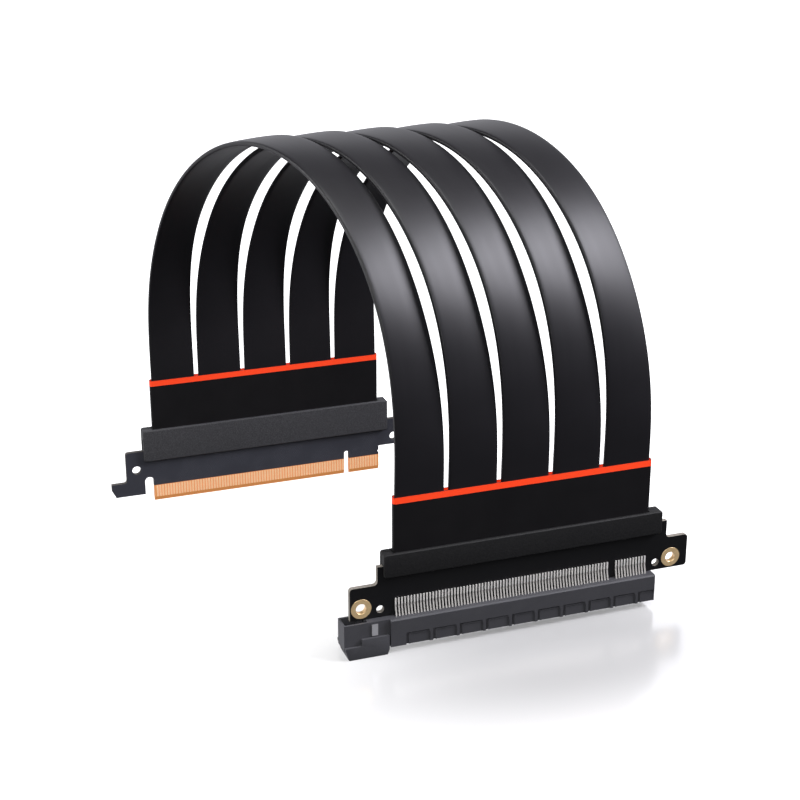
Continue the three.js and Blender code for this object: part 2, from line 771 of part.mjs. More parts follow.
// One contact of the front row: its tail, bent in from the housing and up the board's face
function contactTail(x) {
  const inner = HALF_BOARD + TAIL_GAP;
  const outer = inner + TAIL_THICKNESS;
  return bar(outline([
    [TAIL_ROOT_DEPTH, SLOT_HEIGHT - GAP],
    [TAIL_ROOT_DEPTH + TAIL_THICKNESS, SLOT_HEIGHT - GAP],
    [outer, TAIL_BEND_HEIGHT],
    [outer, TAIL_TOP],
    [inner, TAIL_TOP],
    [inner, TAIL_BEND_HEIGHT],
  ]), x - TAIL_WIDTH / 2, x + TAIL_WIDTH / 2);
}

// Latch block: the walls that carry the lever and take the plug's hook
function latchBlock() {
  const walls = plate(outline([
    [-BLOCK_END, BLOCK_FOOT_LIFT],
    [LEVER_STEP_AT, BLOCK_FOOT_LIFT],
    [LEVER_STEP_AT, 0],
    [SLOT_LEFT + GAP, 0],
    [SLOT_LEFT + GAP, SLOT_HEIGHT],
    [-BLOCK_END, SLOT_HEIGHT],
  ]), -BLOCK_HALF_DEPTH, BLOCK_HALF_DEPTH);
  const leverChannel = block(
    -BLOCK_END + BLOCK_END_WALL,
    PIVOT_AT + ARM_HALF_WIDTH + ARM_SWING_ROOM,
    -CHANNEL_HALF,
    CHANNEL_HALF,
    -OVERCUT,
    SLOT_HEIGHT + OVERCUT,
  );
  const hookPocket = block(
    -BLOCK_END + BLOCK_END_WALL,
    TONGUE_LEFT - HOOK_SLOT_WIDTH + HOOK_POCKET_ROOM,
    -HALF_BOARD - HOOK_POCKET_ROOM,
    HALF_BOARD + HOOK_POCKET_ROOM,
    -OVERCUT,
    HOOK_POCKET_HEIGHT,
  );
  const pivotHoles = rod(
    PIVOT_AT,
    PIVOT_HEIGHT,
    TRUNNION_RADIUS + GAP,
    -CHANNEL_HALF - TRUNNION_LENGTH,
    CHANNEL_HALF + TRUNNION_LENGTH,
    COARSE_SIDES,
  );
  const guideRib = block(
    GUIDE_RIB_AT - GUIDE_RIB_WIDTH / 2,
    GUIDE_RIB_AT + GUIDE_RIB_WIDTH / 2,
    BLOCK_HALF_DEPTH - GAP,
    BLOCK_HALF_DEPTH + GUIDE_RIB_RELIEF,
    GUIDE_RIB_FOOT,
    GUIDE_RIB_TOP,
  );
  return join([cut(walls, [leverChannel, hookPocket, pivotHoles]), bothSides(guideRib)]);
}

function slotHousing() {
  const { recesses, pads } = slotWindows();
  const springs = join(CONTACTS_AT.map(contactSpring));
  const tails = join(CONTACTS_AT.map(contactTail));
  const body = cut(slotBody(), [bothSides(recesses)]);
  return join([
    body,
    latchBlock(),
    endLug(),
    bothSides(pads),
    bothSides(springs),
    bothSides(tails),
  ]);
}

// Latch lever: two L-shaped cheeks outside the block, a floor with a catch, and two arms
function latchLever() {
  const foot = -LATCH_DROP;
  const floorTop = foot + LEVER_FLOOR_THICKNESS;
  const cheekBack = BLOCK_HALF_DEPTH + MOVING_GAP;
  const armFront = CHANNEL_HALF - MOVING_GAP;
  const armBack = armFront - ARM_THICKNESS;
  const cheek = plate(outline([
    [LEVER_LEFT_FOOT, foot, LEVER_FOOT_RADIUS],
    [LEVER_RIGHT - LEVER_TOE_SLANT, foot, LEVER_FOOT_RADIUS],
    [LEVER_RIGHT, floorTop, LEVER_TOE_RADIUS],
    [LEVER_RIGHT, LEVER_STEP_TOP, LEVER_STEP_RADIUS],
    [LEVER_STEP_AT, LEVER_STEP_TOP, LEVER_STEP_RADIUS],
    [LEVER_STEP_AT, LEVER_STRIP_TOP, LEVER_STEP_RADIUS],
    [LEVER_LEFT, LEVER_STRIP_TOP],
    [LEVER_LEFT, LEVER_STRIP_TOP - LEVER_END_FACE],
  ]), cheekBack, SLOT_HALF_DEPTH);
  const railRight = PIVOT_AT + ARM_HALF_WIDTH;
  const rail = block(LEVER_LEFT_FOOT, railRight, armBack, cheekBack + GAP, foot, floorTop);
  const catchBar = block(
    LEVER_LEFT_FOOT,
    -HOOK_TIP + CATCH_REACH,
    -armBack - GAP,
    armBack + GAP,
    foot,
    floorTop,
  );
  const trunnion = rod(
    PIVOT_AT,
    PIVOT_HEIGHT,
    TRUNNION_RADIUS,
    armFront - GAP,
    armFront + TRUNNION_LENGTH,
    COARSE_SIDES,
  );
  const arm = join([
    block(PIVOT_AT - ARM_HALF_WIDTH, railRight, armBack, armFront, foot, PIVOT_HEIGHT),
    rod(PIVOT_AT, PIVOT_HEIGHT, ARM_HALF_WIDTH, armBack, armFront),
    trunnion,
  ]);
  return join([bothSides(join([cheek, rail, arm])), catchBar]);
}

// Each named piece, with its face and its place in its end
function piece(name, geometry, face) {
  const material = new THREE.MeshStandardMaterial({ ...FACES[face], flatShading: true });
  const mesh = new THREE.Mesh(geometry, material);
  mesh.name = name;
  return mesh;
}

function plugEnd() {
  const plug = new THREE.Group();
  const front = coverFront(PLUG_COVER);
  plug.add(
    piece('plug_board', geometryOf(plugBoard()), 'board'),
    piece('plug_cover_front', geometryOf(front), 'cover'),
    piece('plug_cover_back', geometryOf(mirrored(front)), 'cover'),
    piece('plug_sleeve', geometryOf(sleeve(PLUG_COVER_TOP - SLEEVE_SEAT, PLUG_SLEEVE_TOP)), 'sleeve'),
  );
  return plug;
}

function socketEnd() {
  const socket = new THREE.Group();
  const front = coverFront(SOCKET_COVER);
  const band = sleeve(SOCKET_COVER_TOP - SLEEVE_SEAT, SOCKET_SLEEVE_TOP);
  const leftEyelet = piece('mounting_eyelet_left', eyeletGeometry(), 'gold');
  const rightEyelet = piece('mounting_eyelet_right', eyeletGeometry(), 'gold');
  leftEyelet.position.set(EYELET_LEFT_AT, 0, EYELET_HEIGHT);
  rightEyelet.position.set(EYELET_RIGHT_AT, 0, EYELET_HEIGHT);
  socket.add(
    piece('socket_board', geometryOf(socketBoard()), 'board'),
    piece('socket_cover_front', geometryOf(front), 'cover'),
    piece('socket_cover_back', geometryOf(mirrored(front)), 'cover'),
    piece('socket_sleeve', geometryOf(band), 'sleeve'),
    piece('slot_housing', geometryOf(slotHousing()), 'slot'),
    piece('latch_lever', geometryOf(latchLever()), 'slot'),
    leftEyelet,
    rightEyelet,
  );
  socket.position.copy(SOCKET_PLACE);
  return socket;
}

function ribbons() {
  const set = new THREE.Group();
  const strip = ribbonGeometry();
  for (let i = 0; i < RIBBON_COUNT; i += 1) {
    const ribbon = piece(`ribbon_${i + 1}`, strip.clone(), 'ribbon');
    ribbon.position.x = (i - (RIBBON_COUNT - 1) / 2) * RIBBON_PITCH;
    set.add(ribbon);
  }
  return set;
}

const riser = new THREE.Group();
riser.add(plugEnd(), socketEnd(), ribbons());
export default riser;
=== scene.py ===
"""A riser cable for a graphics card, standing as an arch on a pale studio floor.

Metres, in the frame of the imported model. The plug end stands at the origin, the socket end
ahead of it (-Y) and to its right (+X).
"""
from math import atan2, cos, pi, radians, sin

import bmesh
import bpy
from mathutils import Matrix, Vector


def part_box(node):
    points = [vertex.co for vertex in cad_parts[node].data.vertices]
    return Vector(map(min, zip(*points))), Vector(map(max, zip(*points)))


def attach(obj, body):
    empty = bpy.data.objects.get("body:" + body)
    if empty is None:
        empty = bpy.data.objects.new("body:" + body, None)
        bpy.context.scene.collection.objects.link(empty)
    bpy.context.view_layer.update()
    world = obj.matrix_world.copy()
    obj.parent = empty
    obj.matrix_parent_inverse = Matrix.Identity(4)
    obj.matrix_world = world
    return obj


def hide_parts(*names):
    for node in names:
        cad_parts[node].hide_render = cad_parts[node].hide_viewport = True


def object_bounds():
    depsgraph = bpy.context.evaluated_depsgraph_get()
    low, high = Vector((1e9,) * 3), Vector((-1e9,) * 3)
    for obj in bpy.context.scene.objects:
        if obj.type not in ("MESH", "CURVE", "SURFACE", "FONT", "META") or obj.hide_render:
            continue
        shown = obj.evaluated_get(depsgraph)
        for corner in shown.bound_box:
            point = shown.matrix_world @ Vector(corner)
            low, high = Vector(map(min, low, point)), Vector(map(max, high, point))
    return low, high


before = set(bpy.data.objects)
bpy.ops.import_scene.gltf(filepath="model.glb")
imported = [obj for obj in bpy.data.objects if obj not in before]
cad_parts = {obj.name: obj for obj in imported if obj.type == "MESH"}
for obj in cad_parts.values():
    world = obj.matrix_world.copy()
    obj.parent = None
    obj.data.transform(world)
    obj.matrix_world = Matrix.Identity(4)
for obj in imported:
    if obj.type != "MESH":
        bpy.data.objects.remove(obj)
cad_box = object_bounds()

MM = 0.001

# The camera, in the pixels of an 800 by 800 picture
PICTURE = 800
FOCAL_PIXELS = 1687.75
SENSOR = 36
AZIMUTH = radians(-19.70)
ELEVATION = radians(21.34)
DISTANCE = 632.21 * MM
AIM = Vector((30 * MM, 0, 0))
AIM_PIXEL = (-53.9, 72.2)
NEAR_CLIP = 0.01

# The boards, and the gold fingers on the plug's tongue, which glow with painted light
HALF_BOARD = 0.785 * MM
TRACE_PITCH = 0.62 * MM
TONGUE_HALF = 42.6 * MM
TONGUE_ROOM = 0.2 * MM
FINGER_TOP = 5.8 * MM
FINGER_FADE = 0.3 * MM
FINGER_RELIEF = 0.04 * MM
FINGER_PAINTED_GLOW = (0.28, 0.09, 0.01)

# The socket's place, and the parts of its slot, measured from that place
SOCKET_AT = Vector((45, -129, 2.2)) * MM
SLOT_REACH = 44 * MM
TAIL_FOOT = 9.01 * MM
SOLDER_FOOT = 12.3 * MM
SOLDER_TOP = 12.8 * MM
SPRING_DEPTH = 0.89 * MM
SPRING_FOOT = 2.35 * MM
SPRING_TOP = 5.65 * MM
KEY_AT = 30 * MM
KEY_HALF = 0.9 * MM
GUIDE_RIB_AT = -48.8 * MM
GUIDE_RIB_HALF = 0.97 * MM
GUIDE_RIB_FACE = 3.1 * MM
GUIDE_RIB_FOOT = 4.6 * MM
GUIDE_RIB_TOP = 8.4 * MM

# The ribbons' path: shares of the way to the socket, and heights
ARCH_HEIGHT = 188.2 * MM
ARCH_GUIDE = [
    (0, 0.4389),
    (-0.045, 0.6126),
    (0.224, 0.7837),
    (0.633, 1),
    (1.053, 0.7046),
    (1, 0.3932),
]
RIBBON_COUNT = 5
RIBBON_PITCH = 16.9 * MM
RIBBON_WIDTH = 15.4 * MM
RIBBON_THICKNESS = 1.7 * MM
RIBBON_EDGE = 0.55 * MM
RIBBON_EDGE_SEGMENTS = 4
RIBBON_CROWN = 0.22 * MM
RIBBON_CUTS = 12
RIBBON_STEPS = 110
TWIST_SHARE_PLUG = 0.23
TWIST_SHARE_SOCKET = 0.26
PLUG_RIBBON_FOOT = 24.1 * MM
SOCKET_RIBBON_FOOT = 28.0 * MM
LEG_BACK = 0.885 * MM
LEG_THICKNESS = 0.35 * MM
LEG_LENGTH = 2.6 * MM
LEG_INSET = 0.6 * MM

# The sleeves and their printed band
SLEEVE_WALL = 0.2 * MM
SLEEVE_ROUNDING = 0.9 * MM
SLEEVE_SEGMENTS = 6
BAND_HEIGHT = 2.0 * MM
BAND_BELOW_MOUTH = 0.05 * MM
BAND_SOFTNESS = 0.04 * MM

# The eyelets, and the softened edges of the mouldings
EYELET_BORE = 1.65 * MM
EYELET_BARREL = 1.75 * MM
EYELET_SEAT = 0.835 * MM
EYELET_LEAD = 0.1 * MM
EYELET_RIM = 0.06 * MM
EYELET_CORNER = 0.05 * MM
EYELET_STEPS = 64
SOFT_EDGE = 0.12 * MM
SOFT_SEGMENTS = 3
SOFTENED_FROM = radians(20)
WELD = 0.002 * MM

# The angle from which shading shows an edge, on swept pieces and on the others
ROUND_SHARP_FROM = radians(50)
SOFT_SHARP_FROM = radians(35)

# The studio. The backdrop brightens from one direction's y to another's, and fades overhead
# from one z to another. The floor's own light is dimmest just ahead of the socket, at a
# place given, like the distances from it, after the floor's points are scaled by the shape.
ROOM_TINT = (0.94, 0.94, 1.0)
ROOM_GLOW = 0.05
BACKDROP_GLOW = 1.0
BACKDROP_Y = (0.25, 0.75)
OVERHEAD_Z = (0.46, 0.62)
SOFTBOXES = {  # towards, distance, size, watts, colour
    "key_right": ((0.745, -0.325, 0.56), 1.15, (0.46, 0.44), 12.5, (0.93, 0.92, 1.0)),
    "fill_front": ((-0.42, -0.86, 0.52), 0.70, (0.45, 0.30), 2.0, (1, 1, 1)),
    "top": ((0.1, -0.2, 1.0), 0.80, (0.40, 0.40), 3.0, (1, 1, 1)),
    "rim_left": ((-0.95, 0.10, 0.30), 0.55, (0.18, 0.45), 1.6, (1, 1, 1)),
}
FLOOR_SIZE = 6
FLOOR_GLOW = 0.12
FLOOR_DIM_SHAPE = Vector((0.5, 1, 1))
FLOOR_DIM_AT = Vector((0.026, -0.15, 0))
FLOOR_WHITE_FROM = 0.01
FLOOR_WHITE_TO = 0.075


class Value:
    """A socket's output. An expression on values adds the Math nodes that work it out."""

    def __init__(self, finish, socket):
        self.finish = finish
        self.socket = socket

    def math(self, operation, *values):
        return self.finish.add(
            "ShaderNodeMath", {"operation": operation}, dict(enumerate(values))
        )

    def __add__(self, other):
        return self.math("ADD", self, other)

    def __sub__(self, other):
        return self.math("SUBTRACT", self, other)

    def __rsub__(self, other):
        return self.math("SUBTRACT", other, self)

    def __mul__(self, other):
        return self.math("MULTIPLY", self, other)

    def __truediv__(self, other):
        return self.math("DIVIDE", self, other)

    def __gt__(self, other):
        return self.math("GREATER_THAN", self, other)

    def __lt__(self, other):
        return self.math("LESS_THAN", self, other)

    def __abs__(self):
        return self.math("ABSOLUTE", self)

    def modulo(self, other):
        return self.math("FLOORED_MODULO", self, other)

    __radd__ = __add__
    __rmul__ = __mul__


class Finish:
    """A material built up from nodes that feed its Principled shader.

    A name given as plain has an underscore for each space: Base_Color for Base Color.
    """

    def __init__(self, name, **plain):
        self.material = bpy.data.materials.new(name)
        self.material.use_nodes = True
        self.tree = self.material.node_tree
        self.shader = self.tree.nodes["Principled BSDF"]
        for socket, value in plain.items():
            self.feed(socket.replace("_", " "), value)

    def put(self, socket, value):
        """Links a value to a node's input, or sets the input to a plain one."""
        if isinstance(value, Value):
            self.tree.links.new(value.socket, socket)
        elif isinstance(value, (tuple, list, Vector)) and socket.type == "RGBA":
            socket.default_value = (*value[:3], 1)
        else:
            socket.default_value = value

    def feed(self, socket, value):
        """The same for a named input of the Principled shader."""
        self.put(self.shader.inputs[socket], value)

    def add(self, kind, settings=None, sockets=None, output=0):
        """A new node with these settings and inputs, as the value of its output."""
        node = self.tree.nodes.new(kind)
        for name, setting in (settings or {}).items():
            setattr(node, name, setting)
        for name, value in (sockets or {}).items():
            self.put(node.inputs[name], value)
        return Value(self, node.outputs[output])

    def place(self):
        """A point of the piece, from the frame's origin."""
        return self.add("ShaderNodeTexCoord", output="Object")

    def apart(self, vector):
        """A vector's x, y and z."""
        split = self.tree.nodes.new("ShaderNodeSeparateXYZ")
        self.put(split.inputs[0], vector)
        return [Value(self, socket) for socket in split.outputs]

    def facing(self):
        """The surface's own direction."""
        return self.add("ShaderNodeNewGeometry", output="Normal")

    def noise(self, vector, size, detail=2.0, roughness=0.5):
        """Noise from 0 to 1 whose blobs are about this size, in metres."""
        return self.add(
            "ShaderNodeTexNoise",
            {"noise_dimensions": "3D"},
            {"Vector": vector, "Scale": 1 / size, "Detail": detail, "Roughness": roughness},
        )

    def spread(self, value, low, high, to_low, to_high):
        """A value from low to high, turned smoothly into one from to_low to to_high."""
        return self.add(
            "ShaderNodeMapRange",
            {"interpolation_type": "SMOOTHSTEP"},
            {0: value, 1: low, 2: high, 3: to_low, 4: to_high},
        )

    def blend(self, share, below, above):
        """One colour turning into another as share goes from 0 to 1."""
        return self.add(
            "ShaderNodeMix", {"data_type": "RGBA"}, {0: share, 6: below, 7: above}, output=2
        )

    def bump(self, height, depth, strength=1.0, under=None):
        """The direction of a surface raised by height times depth, in metres."""
        sockets = {"Height": height, "Distance": depth, "Strength": strength}
        if under is not None:
            sockets["Normal"] = under
        return self.add("ShaderNodeBump", None, sockets)


def ribbon_jacket():
    """Charcoal jacket with a satin sheen and faint lines along its length."""
    finish = Finish("ribbon_jacket", Specular_IOR_Level=0.5)
    strip = finish.add(
        "ShaderNodeAttribute", {"attribute_name": "strip"}, output="Vector"
    )
    across, out, along = finish.apart(strip)
    drawn = finish.add(
        "ShaderNodeCombineXYZ", None, {0: across, 1: out, 2: along * 0.02}
    )
    lines = finish.noise(drawn, 1.3 * MM, 2)
    smudge = finish.noise(strip, 16 * MM, 2)
    colour = finish.blend(smudge, (0.0085, 0.0080, 0.0100), (0.0120, 0.0112, 0.0140))
    finish.feed("Base Color", colour)
    finish.feed("Roughness", 0.37 + smudge * 0.06 + lines * 0.05)
    finish.feed("Normal", finish.bump(lines, 0.0018 * MM))
    return finish.material


def sleeve_film(name, mouth):
    """Smooth black film with an orange-red band printed just below the sleeve's mouth, the band
    given a painted glow.
    """
    finish = Finish(name)
    place = finish.place()
    height = finish.apart(place)[2]
    top = mouth - BAND_BELOW_MOUTH
    foot = top - BAND_HEIGHT
    above = finish.spread(height, foot - BAND_SOFTNESS, foot + BAND_SOFTNESS, 0, 1)
    below = finish.spread(height, top - BAND_SOFTNESS, top + BAND_SOFTNESS, 1, 0)
    printed = above * below
    cloud = finish.noise(place, 9 * MM, 3)
    grain = finish.noise(place, 0.22 * MM, 2)
    film = finish.blend(cloud, (0.0066, 0.0062, 0.0072), (0.0098, 0.0092, 0.0104))
    finish.feed("Base Color", finish.blend(printed, film, (1.0, 0.075, 0.016)))
    # Painted light: the printed band glows a little through emission
    finish.feed("Emission Color", finish.blend(printed, (0, 0, 0), (0.36, 0.014, 0.003)))
    finish.feed("Emission Strength", 1.0)
    finish.feed("Roughness", 0.34 + cloud * 0.1 + printed * 0.12)
    finish.feed("Normal", finish.bump(grain + printed * 2, 0.006 * MM))
    return finish.material


def cover_moulding(name, dark, light):
    """Black moulded plastic with a fine spark-eroded grain."""
    finish = Finish(name, Specular_IOR_Level=0.4)
    place = finish.place()
    grain = finish.noise(place, 0.3 * MM, 4, 0.62)
    pits = finish.add(
        "ShaderNodeTexVoronoi", {"feature": "F1"}, {"Vector": place, "Scale": 1 / (0.42 * MM)}
    )
    cloud = finish.noise(place, 12 * MM, 2)
    colour = finish.blend(finish.spread(grain, 0.35, 0.68, 0, 1), dark, light)
    finish.feed("Base Color", colour)
    finish.feed("Roughness", 0.56 + grain * 0.16 + cloud * 0.05)
    pitted = finish.bump(pits, 0.018 * MM)
    finish.feed("Normal", finish.bump(grain, 0.035 * MM, under=pitted))
    return finish.material


def board_layers(name, hatched, dark, light, edge, gilded):
    """Black solder mask over faint traces, bare cut edges and, on a gilded board, gold fingers
    with a painted glow.
    """
    finish = Finish(name)
    place = finish.place()
    x, y, z = finish.apart(place)
    cut_edge = abs(finish.apart(finish.facing())[1]) < 0.5
    slant = (x + z).modulo(TRACE_PITCH) / TRACE_PITCH
    trace = finish.spread(abs(slant - 0.5), 0.12, 0.2, 1, 0)
    patch = finish.spread(finish.noise(place, 11 * MM, 1), 0.42, 0.56, 0, 1)
    traced = trace * patch * hatched
    weave = finish.noise(place, 0.5 * MM, 2)
    mask = finish.blend(traced, dark, light)
    fibre = finish.blend(weave, [c * 0.6 for c in edge], edge)
    colour = finish.blend(cut_edge, mask, fibre)
    roughness = 0.42 + weave * 0.08 + cut_edge * 0.3
    if gilded:
        low = finish.spread(z, FINGER_TOP, FINGER_TOP + FINGER_FADE, 1, 0)
        bare = low * (abs(x) < TONGUE_HALF + TONGUE_ROOM)
        finger = (abs(y) > HALF_BOARD + FINGER_RELIEF) * bare
        tint = finish.noise(place, 2.2 * MM, 2)
        gold = finish.blend(tint, (1.0, 0.66, 0.40), (1.0, 0.78, 0.54))
        between = finish.blend(bare, colour, (0.75, 0.37, 0.17))
        colour = finish.blend(finger, between, gold)
        roughness = roughness * (1 - bare) + bare * 0.4
        # Painted light: the bare gold glows through emission, brighter than the lamps make it
        painted_glow = finish.blend(bare, (0, 0, 0), FINGER_PAINTED_GLOW)
        finish.feed("Emission Color", painted_glow)
        finish.feed("Emission Strength", 1.0)
    finish.feed("Base Color", colour)
    finish.feed("Roughness", roughness)
    raised = finish.bump(traced, 0.02 * MM)
    finish.feed("Normal", finish.bump(weave, 0.006 * MM, under=raised))
    return finish.material


def slot_nylon():
    """Dark grey nylon, a painted highlight on the guide rib, tin contact tails and gold springs in
    the mouth.
    """
    finish = Finish("slot_nylon")
    place = finish.place()
    x, y, z = finish.apart(place)
    depth = abs(y - SOCKET_AT.y)
    height = z - SOCKET_AT.z
    tail = height > TAIL_FOOT
    key = abs(x - SOCKET_AT.x - KEY_AT) < KEY_HALF
    spring = (depth < SPRING_DEPTH) * (height > SPRING_FOOT) * (height < SPRING_TOP)
    spring = spring * (1 - key) * (x > SOCKET_AT.x - SLOT_REACH)
    metal = tail + spring
    grain = finish.noise(place, 0.35 * MM, 4, 0.6)
    cloud = finish.noise(place, 7 * MM, 3)
    nylon = finish.blend(
        grain * 0.6 + cloud * 0.4, (0.041, 0.041, 0.047), (0.100, 0.100, 0.111)
    )
    solder = finish.spread(height, SOLDER_FOOT, SOLDER_TOP, 0, 1)
    tin = finish.blend(solder, (0.62, 0.60, 0.57), (1.0, 0.98, 0.94))
    plated = finish.blend(spring, tin, (0.95, 0.66, 0.32))
    # Painted highlight: the guide rib is coloured a lighter grey where light would catch it
    rib = (abs(x - SOCKET_AT.x - GUIDE_RIB_AT) < GUIDE_RIB_HALF) * (depth > GUIDE_RIB_FACE)
    rib_painted_highlight = rib * (height > GUIDE_RIB_FOOT) * (height < GUIDE_RIB_TOP)
    nylon = finish.blend(rib_painted_highlight, nylon, (0.42, 0.42, 0.44))
    finish.feed("Base Color", finish.blend(metal, nylon, plated))
    finish.feed("Metallic", metal * 0.12)
    finish.feed("Roughness", 0.5 + grain * 0.14 - metal * 0.28)
    finish.feed("Normal", finish.bump(grain * (1 - metal), 0.03 * MM))
    return finish.material


def gold_plate():
    """Thin gold plating, a little dull and uneven."""
    finish = Finish("gold_plate", Metallic=0.35)
    place = finish.place()
    cloud = finish.noise(place, 1.6 * MM, 3)
    grain = finish.noise(place, 0.2 * MM, 2)
    finish.feed("Base Color", finish.blend(cloud, (0.84, 0.57, 0.27), (1.0, 0.77, 0.45)))
    finish.feed("Roughness", 0.26 + cloud * 0.14)
    finish.feed("Normal", finish.bump(grain, 0.006 * MM))
    return finish.material


def finished(name, bm, material, body, node, sharp_from):
    """One piece: its mesh, its finish, the body it rides on and the node it stands for."""
    mesh = bpy.data.meshes.new(name)
    bm.to_mesh(mesh)
    bm.free()
    mesh.shade_smooth()
    mesh.set_sharp_from_angle(angle=sharp_from)
    piece = bpy.data.objects.new(name, mesh)
    bpy.context.scene.collection.objects.link(piece)
    mesh.materials.append(material)
    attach(piece, body)
    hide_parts(node)


def rounded_face(bm, half_width, half_depth, radius, segments):
    """A flat face with rounded corners, lying level."""
    corners = [(-1, -1), (1, -1), (1, 1), (-1, 1)]
    verts = [bm.verts.new((x * half_width, y * half_depth, 0)) for x, y in corners]
    bm.faces.new(verts)
    bmesh.ops.bevel(
        bm,
        geom=verts,
        offset=radius,
        segments=segments,
        profile=0.5,
        affect="VERTICES",
        material=-1,
    )
    return bm.faces[:]


def ease(share):
    """Goes from 0 to 1 with the share, level at both ends."""
    s = min(max(share, 0), 1)
    return s * s * (3 - 2 * s)


def bezier(points, t):
    """The point at t, from 0 to 1, of the curve that these points guide."""
    while len(points) > 1:
        points = [a.lerp(b, t) for a, b in zip(points, points[1:])]
    return points[0]


def ribbon_places():
    """The ribbons' middle line: at each step a point, the width's turn and the distance along."""
    run = Vector((SOCKET_AT.x, SOCKET_AT.y, 0))
    plug_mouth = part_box("plug_sleeve")[1].z
    socket_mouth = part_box("socket_sleeve")[1].z
    guide = [run * share + Vector((0, 0, height * ARCH_HEIGHT)) for share, height in ARCH_GUIDE]
    guide = [Vector((0, 0, plug_mouth)), *guide, run + Vector((0, 0, socket_mouth))]
    arch = [bezier(guide, i / RIBBON_STEPS) for i in range(RIBBON_STEPS + 1)]
    points = [
        Vector((0, 0, PLUG_RIBBON_FOOT)),
        *arch,
        run + Vector((0, 0, SOCKET_RIBBON_FOOT)),
    ]
    lengths = [0]
    for before, point in zip(points, points[1:]):
        lengths.append(lengths[-1] + (point - before).length)
    start = lengths[1]
    free = lengths[-2] - start
    heading = atan2(SOCKET_AT.x, -SOCKET_AT.y)
    turns = [
        heading
        * ease((length - start) / free / TWIST_SHARE_PLUG)
        * ease((1 - (length - start) / free) / TWIST_SHARE_SOCKET)
        for length in lengths
    ]
    return points, turns, lengths


def ribbon_frames():
    """A placing matrix for the ribbon's section at each step, and the distance along."""
    points, turns, lengths = ribbon_places()
    frames = []
    for i, point in enumerate(points):
        ahead = (points[min(i + 1, len(points) - 1)] - points[max(i - 1, 0)]).normalized()
        across = Vector((cos(turns[i]), sin(turns[i]), 0))
        across = (across - ahead * across.dot(ahead)).normalized()
        outward = ahead.cross(across)
        rotation = Matrix((across, outward, ahead)).transposed().to_4x4()
        frames.append(Matrix.Translation(point) @ rotation)
    return frames, lengths


def wire_legs(bm, foot):
    """The stripped wires at a ribbon's foot, soldered down both faces of the board."""
    half = RIBBON_WIDTH / 2 - LEG_INSET
    back, front = LEG_BACK, LEG_BACK + LEG_THICKNESS
    outline = [
        (back, -LEG_LENGTH),
        (front, -LEG_LENGTH),
        (front, 2 * LEG_THICKNESS),
        (-front, 2 * LEG_THICKNESS),
        (-front, -LEG_LENGTH),
        (-back, -LEG_LENGTH),
        (-back, 0),
        (back, 0),
    ]
    side = bm.faces.new([bm.verts.new(foot + Vector((-half, y, z))) for y, z in outline])
    grown = bmesh.ops.extrude_face_region(bm, geom=[side], use_keep_orig=True)["geom"]
    verts = [g for g in grown if isinstance(g, bmesh.types.BMVert)]
    bmesh.ops.translate(bm, vec=(2 * half, 0, 0), verts=verts)


def ribbon(number, material, frames, lengths):
    """One flat ribbon, swept from inside the plug's cover to inside the socket's."""
    aside = (number - (RIBBON_COUNT + 1) / 2) * RIBBON_PITCH
    bm = bmesh.new()
    half = RIBBON_WIDTH / 2
    rounded_face(bm, half, RIBBON_THICKNESS / 2, RIBBON_EDGE, RIBBON_EDGE_SEGMENTS)
    long_edges = [e for e in bm.edges if e.calc_length() > half]
    bmesh.ops.subdivide_edges(bm, edges=long_edges, cuts=RIBBON_CUTS)
    for vert in bm.verts:
        fall = RIBBON_CROWN * (vert.co.x / half) ** 2
        vert.co.y -= fall if vert.co.y > 0 else 0
    strip = bm.verts.layers.float_vector.new("strip")
    for vert in bm.verts:
        vert[strip] = vert.co.copy()
    shift = Matrix.Translation((aside, 0, 0))
    bmesh.ops.transform(bm, matrix=shift @ frames[0], verts=bm.verts)
    ring = [e for e in bm.edges if e.is_boundary]
    for i in range(1, len(frames)):
        grown = bmesh.ops.extrude_edge_only(bm, edges=ring)["geom"]
        verts = [g for g in grown if isinstance(g, bmesh.types.BMVert)]
        ring = [g for g in grown if isinstance(g, bmesh.types.BMEdge)]
        step = shift @ frames[i] @ frames[i - 1].inverted() @ shift.inverted()
        bmesh.ops.transform(bm, matrix=step, verts=verts)
        for vert in verts:
            vert[strip] = Vector((vert[strip].x, vert[strip].y, lengths[i]))
    bmesh.ops.contextual_create(bm, geom=ring)
    wire_legs(bm, Vector((aside, 0, PLUG_RIBBON_FOOT)))
    wire_legs(bm, Vector((aside + SOCKET_AT.x, SOCKET_AT.y, SOCKET_RIBBON_FOOT)))
    bmesh.ops.recalc_face_normals(bm, faces=bm.faces)
    name = f"ribbon_{number}_jacket"
    finished(
        name, bm, material, "riser", f"ribbon_{number}", ROUND_SHARP_FROM
    )


def sleeve(end, material):
    """The flat sleeve round the ribbons of one end, open at its foot and its mouth."""
    low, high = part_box(f"{end}_sleeve")
    middle = (low + high) / 2
    half = (high - low) / 2
    bm = bmesh.new()
    face = rounded_face(bm, half.x, half.y, SLEEVE_ROUNDING, SLEEVE_SEGMENTS)
    ring = bm.edges[:]
    bmesh.ops.delete(bm, geom=face, context="FACES_ONLY")
    bmesh.ops.translate(bm, vec=(middle.x, middle.y, low.z), verts=bm.verts)
    grown = bmesh.ops.extrude_edge_only(bm, edges=ring)["geom"]
    verts = [g for g in grown if isinstance(g, bmesh.types.BMVert)]
    bmesh.ops.translate(bm, vec=(0, 0, high.z - low.z), verts=verts)
    bmesh.ops.recalc_face_normals(bm, faces=bm.faces)
    if sum(f.normal.dot(f.calc_center_median() - middle) for f in bm.faces) < 0:
        bmesh.ops.reverse_faces(bm, faces=bm.faces)
    bmesh.ops.solidify(bm, geom=bm.faces[:], thickness=SLEEVE_WALL)
    bmesh.ops.recalc_face_normals(bm, faces=bm.faces)
    name = f"{end}_sleeve_film"
    finished(name, bm, material, "riser", f"{end}_sleeve", ROUND_SHARP_FROM)


